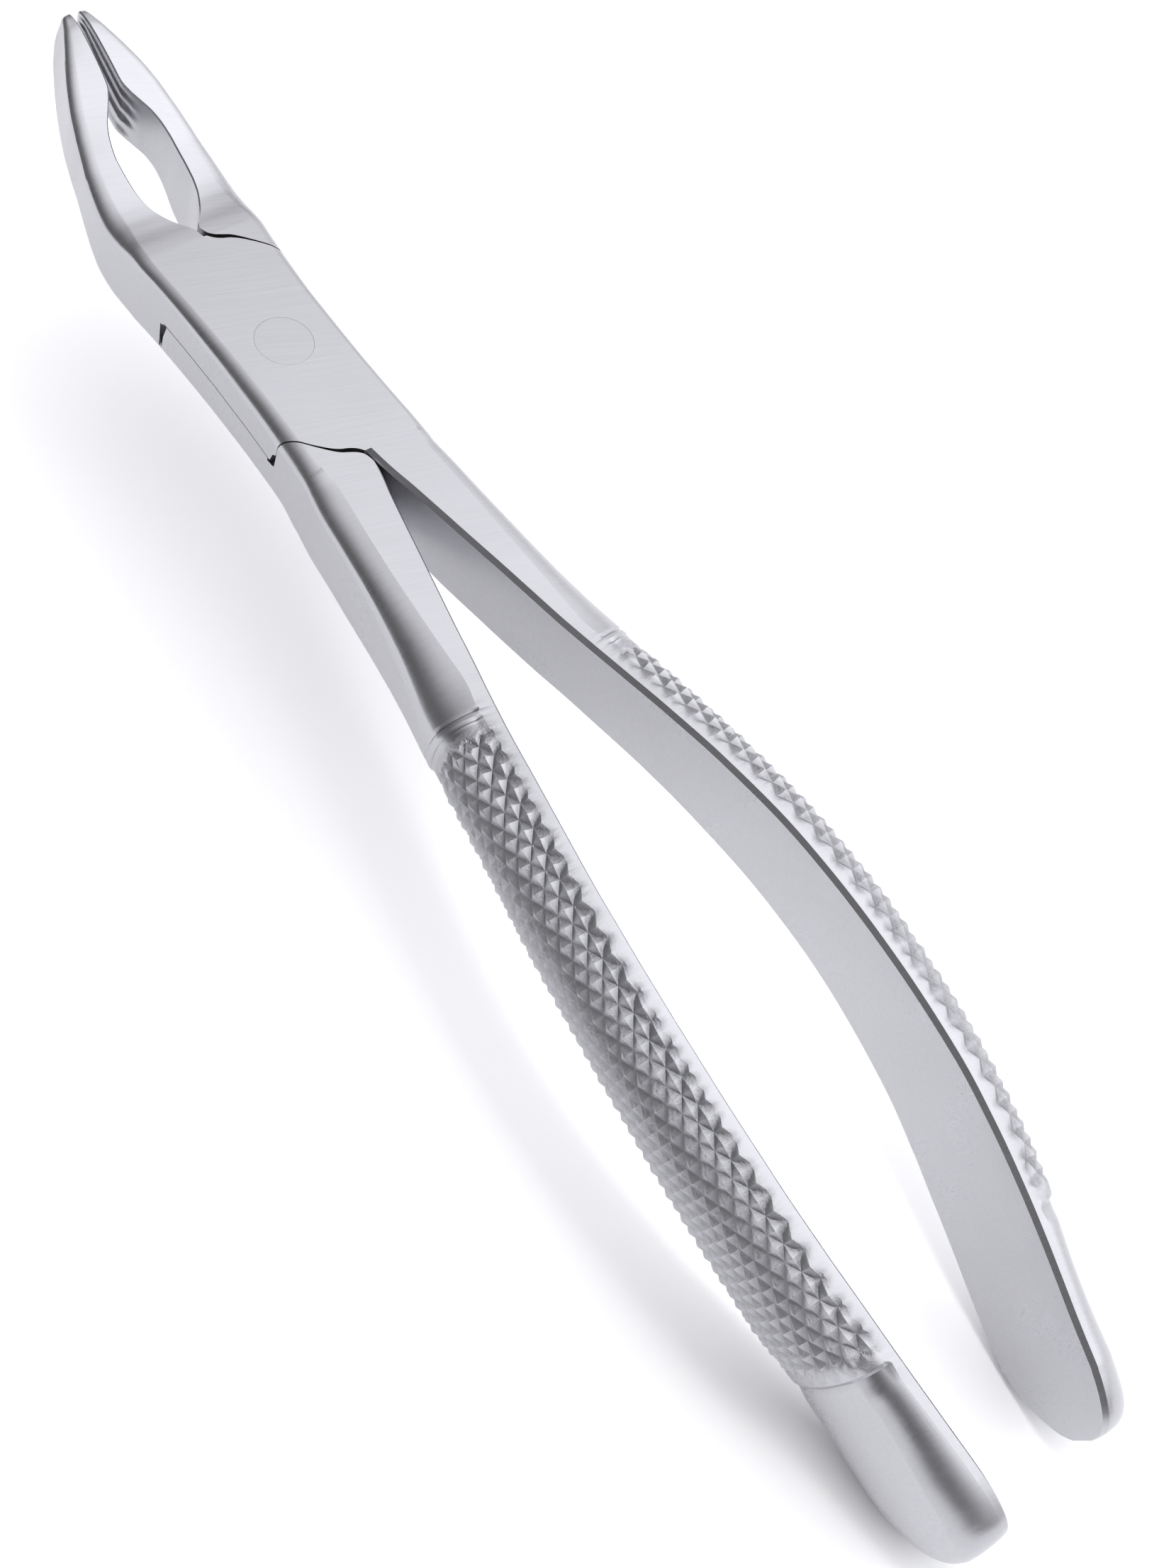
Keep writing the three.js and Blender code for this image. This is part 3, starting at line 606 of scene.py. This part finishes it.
def mark_cuts(ob, side):
    """Depth of the knurling under each vertex, for the painted shade that darkens the steel's colour in the grooves.
    """
    points, depth, area = cuts[side]
    tree = kdtree.KDTree(len(points))
    for i, co in enumerate(points):
        tree.insert(co, i)
    tree.balance()
    me = ob.data
    at = me.attributes.new("cut_depth", "FLOAT", "POINT")
    at2 = me.attributes.new("knurl_area", "FLOAT", "POINT")
    out = np.zeros(len(me.vertices), np.float32)
    out2 = np.zeros(len(me.vertices), np.float32)
    for v in me.vertices:
        if v.co.y < -0.040:
            co, i, d = tree.find(v.co * 1000)
            if d < 0.05:
                out[v.index] = min(1.0, depth[i] / KNURL_DEPTH)
                out2[v.index] = area[i]
    at.data.foreach_set("value", out)
    at2.data.foreach_set("value", out2)


def finish_shading(ob, angle):
    me = ob.data
    me.polygons.foreach_set("use_smooth", np.ones(len(me.polygons), bool))
    me.set_sharp_from_angle(angle=math.radians(angle))
    w = ob.modifiers.new("normals", "WEIGHTED_NORMAL")
    w.mode = "FACE_AREA"
    w.weight = 50
    w.keep_sharp = True


right = half("right_half_forging", 1, 1)
left = half("left_half_forging", -1, -1)
mark_cuts(right, 1)
mark_cuts(left, -1)
for ob in (left, right):
    finish_shading(ob, 24)
    print(ob.name, len(ob.data.polygons), "faces", sum(len(p.vertices) - 2 for p in ob.data.polygons), "triangles")

# pivot screw: flat head with chamfered edges, with its shank and chamfered end
HEAD_R = SCREW_HEAD_R + 0.043
profile = [(0, 0.0), (1.86, 0.0), (SCREW_SHANK_R, 0.14), (SCREW_SHANK_R, JOINT_T - SCREW_HEAD_H - 0.06),
           (2.06, JOINT_T - SCREW_HEAD_H), (HEAD_R - 0.1, JOINT_T - SCREW_HEAD_H),
           (HEAD_R, JOINT_T - SCREW_HEAD_H + 0.1), (HEAD_R, JOINT_T - 0.02), (HEAD_R - 0.02, JOINT_T), (0, JOINT_T)]
n = 128
ring = np.arange(n) * 2 * math.pi / n
sverts, sfaces, at = [], [], []
for r, z in profile:
    at.append(len(sverts))
    sverts += [(0, 0, z * 0.001)] if r == 0 else [(r * 0.001 * math.cos(t), r * 0.001 * math.sin(t), z * 0.001) for t in ring]
for k in range(len(profile) - 1):
    for i in range(n):
        j = (i + 1) % n
        lo = (at[k],) if profile[k][0] == 0 else (at[k] + j, at[k] + i)
        hi = (at[k + 1],) if profile[k + 1][0] == 0 else (at[k + 1] + i, at[k + 1] + j)
        sfaces.append((lo + hi)[::-1])                     # outward
sme = bpy.data.meshes.new("pivot_screw_body")
sme.from_pydata(sverts, [], sfaces)
sme.update()
screw = bpy.data.objects.new("pivot_screw_body", sme)
scene.collection.objects.link(screw)
finish_shading(screw, 24)


# ------------------------------------------------------------------ materials
def steel(name, base, rough, brush_turn, brush=1.0, seed=0.0):
    """Satin stainless: fine brush lines, faint cloudiness, soft wear in the roughness, and painted shade in the knurl
    grooves.
    """
    mat = bpy.data.materials.new(name)
    mat.use_nodes = True
    nt = mat.node_tree
    nt.nodes.clear()
    new, link = nt.nodes.new, nt.links.new
    out = new("ShaderNodeOutputMaterial")
    bs = new("ShaderNodeBsdfPrincipled")
    link(bs.outputs["BSDF"], out.inputs["Surface"])
    bs.inputs["Metallic"].default_value = 1.0
    co = new("ShaderNodeTexCoord")
    turn = new("ShaderNodeMapping")
    turn.inputs["Rotation"].default_value = (0, 0, math.radians(brush_turn))
    turn.inputs["Location"].default_value = (seed, seed * 0.7, 0)
    turn.inputs["Scale"].default_value = (1, 1, 1)
    link(co.outputs["Object"], turn.inputs["Vector"])
    stretch = new("ShaderNodeMapping")
    stretch.inputs["Scale"].default_value = (110, 4200, 1800)
    link(turn.outputs["Vector"], stretch.inputs["Vector"])
    lines = new("ShaderNodeTexNoise")
    lines.inputs["Scale"].default_value = 1.0
    lines.inputs["Detail"].default_value = 4.0
    lines.inputs["Roughness"].default_value = 0.6
    link(stretch.outputs["Vector"], lines.inputs["Vector"])
    cloud = new("ShaderNodeTexNoise")
    cloud.inputs["Scale"].default_value = 130.0
    cloud.inputs["Detail"].default_value = 3.0
    link(co.outputs["Object"], cloud.inputs["Vector"])
    grain = new("ShaderNodeTexNoise")
    grain.inputs["Scale"].default_value = 5200.0
    grain.inputs["Detail"].default_value = 2.0
    link(co.outputs["Object"], grain.inputs["Vector"])
    # colour: base with a little cloud and line contrast
    ramp = new("ShaderNodeMix")
    ramp.data_type = "RGBA"
    ramp.blend_type = "MIX"
    dark = [c * 0.84 for c in base]
    ramp.inputs["A"].default_value = (*dark, 1)
    ramp.inputs["B"].default_value = (*base, 1)
    mixf = new("ShaderNodeMath")
    mixf.operation = "MULTIPLY_ADD"
    mixf.inputs[1].default_value = 1.1
    mixf.inputs[2].default_value = 0.1
    link(lines.outputs["Fac"], mixf.inputs[0])
    link(mixf.outputs[0], ramp.inputs["Factor"])
    # painted shade: the base colour is darkened by up to 28 % where the knurl grooves are deep (cut_depth)
    cut = new("ShaderNodeAttribute")
    cut.attribute_name = "cut_depth"
    shade = new("ShaderNodeMapRange")
    shade.inputs["From Min"].default_value = 0.35
    shade.inputs["From Max"].default_value = 1.0
    shade.inputs["To Min"].default_value = 1.0
    shade.inputs["To Max"].default_value = 0.72
    link(cut.outputs["Fac"], shade.inputs["Value"])
    darker = new("ShaderNodeVectorMath")
    darker.operation = "SCALE"
    link(ramp.outputs["Result"], darker.inputs[0])
    link(shade.outputs["Result"], darker.inputs["Scale"])
    link(darker.outputs["Vector"], bs.inputs["Base Color"])
    # roughness
    rr = new("ShaderNodeMapRange")
    rr.inputs["From Min"].default_value = 0.3
    rr.inputs["From Max"].default_value = 0.7
    rr.inputs["To Min"].default_value = rough - 0.05
    rr.inputs["To Max"].default_value = rough + 0.06
    addn = new("ShaderNodeMath")
    addn.operation = "MULTIPLY_ADD"
    addn.inputs[1].default_value = 0.5
    link(cloud.outputs["Fac"], addn.inputs[0])
    half_line = new("ShaderNodeMath")
    half_line.operation = "MULTIPLY"
    half_line.inputs[1].default_value = 0.5
    link(lines.outputs["Fac"], half_line.inputs[0])
    link(half_line.outputs[0], addn.inputs[2])
    link(addn.outputs[0], rr.inputs["Value"])
    knurl = new("ShaderNodeAttribute")
    knurl.attribute_name = "knurl_area"
    rougher = new("ShaderNodeMath")
    rougher.operation = "MULTIPLY_ADD"
    rougher.inputs[1].default_value = 0.15
    link(knurl.outputs["Fac"], rougher.inputs[0])
    link(rr.outputs["Result"], rougher.inputs[2])
    link(rougher.outputs[0], bs.inputs["Roughness"])
    # bump: brush lines and fine grain
    b1 = new("ShaderNodeBump")
    b1.inputs["Strength"].default_value = 0.34 * brush
    b1.inputs["Distance"].default_value = 0.00002
    link(lines.outputs["Fac"], b1.inputs["Height"])
    b2 = new("ShaderNodeBump")
    b2.inputs["Strength"].default_value = 0.16
    b2.inputs["Distance"].default_value = 0.00001
    link(grain.outputs["Fac"], b2.inputs["Height"])
    link(b1.outputs["Normal"], b2.inputs["Normal"])
    torn = new("ShaderNodeTexNoise")
    torn.inputs["Scale"].default_value = 2600.0
    torn.inputs["Detail"].default_value = 3.0
    torn.inputs["Roughness"].default_value = 0.7
    link(co.outputs["Object"], torn.inputs["Vector"])
    b3 = new("ShaderNodeBump")
    b3.inputs["Distance"].default_value = 0.00012
    much = new("ShaderNodeMath")
    much.operation = "MULTIPLY"
    much.inputs[1].default_value = 0.55
    link(knurl.outputs["Fac"], much.inputs[0])
    link(much.outputs[0], b3.inputs["Strength"])
    link(torn.outputs["Fac"], b3.inputs["Height"])
    link(b2.outputs["Normal"], b3.inputs["Normal"])
    link(b3.outputs["Normal"], bs.inputs["Normal"])
    return mat


half_mat_l = steel("satin_steel_left", (0.52, 0.52, 0.545), 0.30, 14, seed=0.011)
half_mat_r = steel("satin_steel_right", (0.52, 0.52, 0.545), 0.30, 14, seed=0.029)
screw_mat = steel("satin_steel_screw", (0.51, 0.51, 0.535), 0.29, 20, brush=0.8, seed=0.05)
for ob, mat in ((left, half_mat_l), (right, half_mat_r), (screw, screw_mat)):
    ob.data.materials.clear()
    ob.data.materials.append(mat)

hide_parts("left_handle_half")
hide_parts("right_handle_half")
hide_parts("pivot_screw")
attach(left, "left_half")
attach(right, "right_half")
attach(screw, "left_half")

# ------------------------------------------------------------------ floor
low = cad_box[0][2] if len(cad_box) == 2 else min(c[2] for c in cad_box)
floor_me = bpy.data.meshes.new("floor")
S = 1.6
N = 24
fv, ff = [], []
for i in range(N + 1):
    for j in range(N + 1):
        x, y = (i / N * 2 - 1) * S, (j / N * 2 - 1) * S
        fv.append((x, y, low - 0.0002))
for i in range(N):
    for j in range(N):
        a = i * (N + 1) + j
        ff.append((a, a + N + 1, a + N + 2, a + 1))
floor_me.from_pydata(fv, [], ff)
floor = bpy.data.objects.new("floor", floor_me)
scene.collection.objects.link(floor)
fm = bpy.data.materials.new("floor_paper")
fm.use_nodes = True
fb = fm.node_tree.nodes["Principled BSDF"]
fb.inputs["Base Color"].default_value = (0.93, 0.93, 0.94, 1)
fb.inputs["Roughness"].default_value = 0.9
fb.inputs["Specular IOR Level"].default_value = 0.1
floor_me.materials.append(fm)

# ------------------------------------------------------------------ light
world = bpy.data.worlds.new("studio")
scene.world = world
world.use_nodes = True
wn = world.node_tree
wn.nodes.clear()
wo = wn.nodes.new("ShaderNodeOutputWorld")
bg = wn.nodes.new("ShaderNodeBackground")
tc = wn.nodes.new("ShaderNodeTexCoord")
sep = wn.nodes.new("ShaderNodeSeparateXYZ")
wn.links.new(tc.outputs["Generated"], sep.inputs[0])


def ramp_of(stops, source):
    r = wn.nodes.new("ShaderNodeValToRGB")
    r.color_ramp.interpolation = "EASE"
    for k, (pos, v) in enumerate(stops):
        e = r.color_ramp.elements[k] if k < 2 else r.color_ramp.elements.new(pos)
        e.position = pos
        e.color = (v * 0.99, v * 0.99, v * 1.015, 1)
    wn.links.new(source, r.inputs["Fac"])
    return r.outputs["Color"]


def math_node(op, a, b):
    m = wn.nodes.new("ShaderNodeMath")
    m.operation = op
    for k, v in enumerate((a, b)):
        if isinstance(v, (int, float)):
            m.inputs[k].default_value = v
        else:
            wn.links.new(v, m.inputs[k])
    return m.outputs[0]


# one broad soft source above and to the right, falling off to a dark room on the left
dot = wn.nodes.new("ShaderNodeVectorMath")
dot.operation = "DOT_PRODUCT"
aim = unit(np.array([0.43, -0.22, 0.87]))
dot.inputs[1].default_value = tuple(float(v) for v in aim)
wn.links.new(tc.outputs["Generated"], dot.inputs[0])
lobe = ramp_of([(0.0, 0.07), (1.0, 1.0), (0.25, 0.14), (0.51, 0.34), (0.70, 0.62), (0.80, 0.82), (0.90, 0.96)],
               dot.outputs["Value"])
right_x = math_node("MULTIPLY_ADD", sep.outputs["X"], 0.5)
right_x.node.inputs[2].default_value = 0.5
room = ramp_of([(0.0, 0.02), (1.0, 0.34), (0.55, 0.02), (0.78, 0.02), (0.86, 0.12), (0.93, 0.26)], right_x)
total = wn.nodes.new("ShaderNodeMix")
total.data_type = "RGBA"
total.blend_type = "ADD"
total.inputs["Factor"].default_value = 1.0
wn.links.new(lobe, total.inputs["A"])
wn.links.new(room, total.inputs["B"])
wn.links.new(total.outputs["Result"], bg.inputs["Color"])
wn.links.new(bg.outputs["Background"], wo.inputs["Surface"])
bg.inputs["Strength"].default_value = 1.80


def softbox(name, place, toward, size_x, size_y, power, color=(1, 1, 1)):
    d = bpy.data.lights.new(name, "AREA")
    d.shape = "RECTANGLE"
    d.size, d.size_y = size_x, size_y
    d.energy = power
    d.color = color
    o = bpy.data.objects.new(name, d)
    scene.collection.objects.link(o)
    z = unit(np.array(place, float) - np.array(toward, float))
    x = unit(np.cross([0.1, 1, 0.05], z))
    y = np.cross(z, x)
    o.matrix_world = Matrix(((x[0], y[0], z[0], place[0]), (x[1], y[1], z[1], place[1]), (x[2], y[2], z[2], place[2]), (0, 0, 0, 1)))
    return o


# lights the paper only, so that it stays pale under the darker room
paper = softbox("paper_light", (0.0, -0.05, 0.9), (0.0, -0.05, 0.0), 1.6, 1.6, 5.1)
paper.visible_glossy = False
between = softbox("paper_between_handles", (0.0, -0.085, 0.10), (-0.001, -0.085, 0.0), 0.020, 0.085, 0.0042)
between.data.spread = math.radians(50)
between.visible_glossy = False

# ------------------------------------------------------------------ camera
cam_data = bpy.data.cameras.new("camera")
cam_data.sensor_fit = "HORIZONTAL"
cam_data.sensor_width = 36.0
cam_data.lens = 3384.0 / 1659.0 * 36.0
cam_data.shift_x = (829.5 - 828.44) / 1659.0
cam_data.shift_y = (1106.43 - 1106.0) / 1659.0
cam_data.clip_start = 0.01
cam_data.clip_end = 20
cam = bpy.data.objects.new("camera", cam_data)
scene.collection.objects.link(cam)
RX = ((0.7727549503467704, -0.5862132659948507, 0.24331829665319138),
      (0.41995795031036304, 0.7596799173337565, 0.4965095599994984),
      (-0.47590451425225916, -0.28149676724862627, 0.833231338430627))
LOC = (-0.1094256, -0.1190332, 0.1943224)
cam.matrix_world = Matrix(((RX[0][0], RX[1][0], RX[2][0], LOC[0]), (RX[0][1], RX[1][1], RX[2][1], LOC[1]),
                           (RX[0][2], RX[1][2], RX[2][2], LOC[2]), (0, 0, 0, 1)))
scene.camera = cam

scene.view_settings.view_transform = "Standard"
scene.view_settings.look = "None"
scene.view_settings.exposure = 0.0
scene.view_settings.gamma = 1.0

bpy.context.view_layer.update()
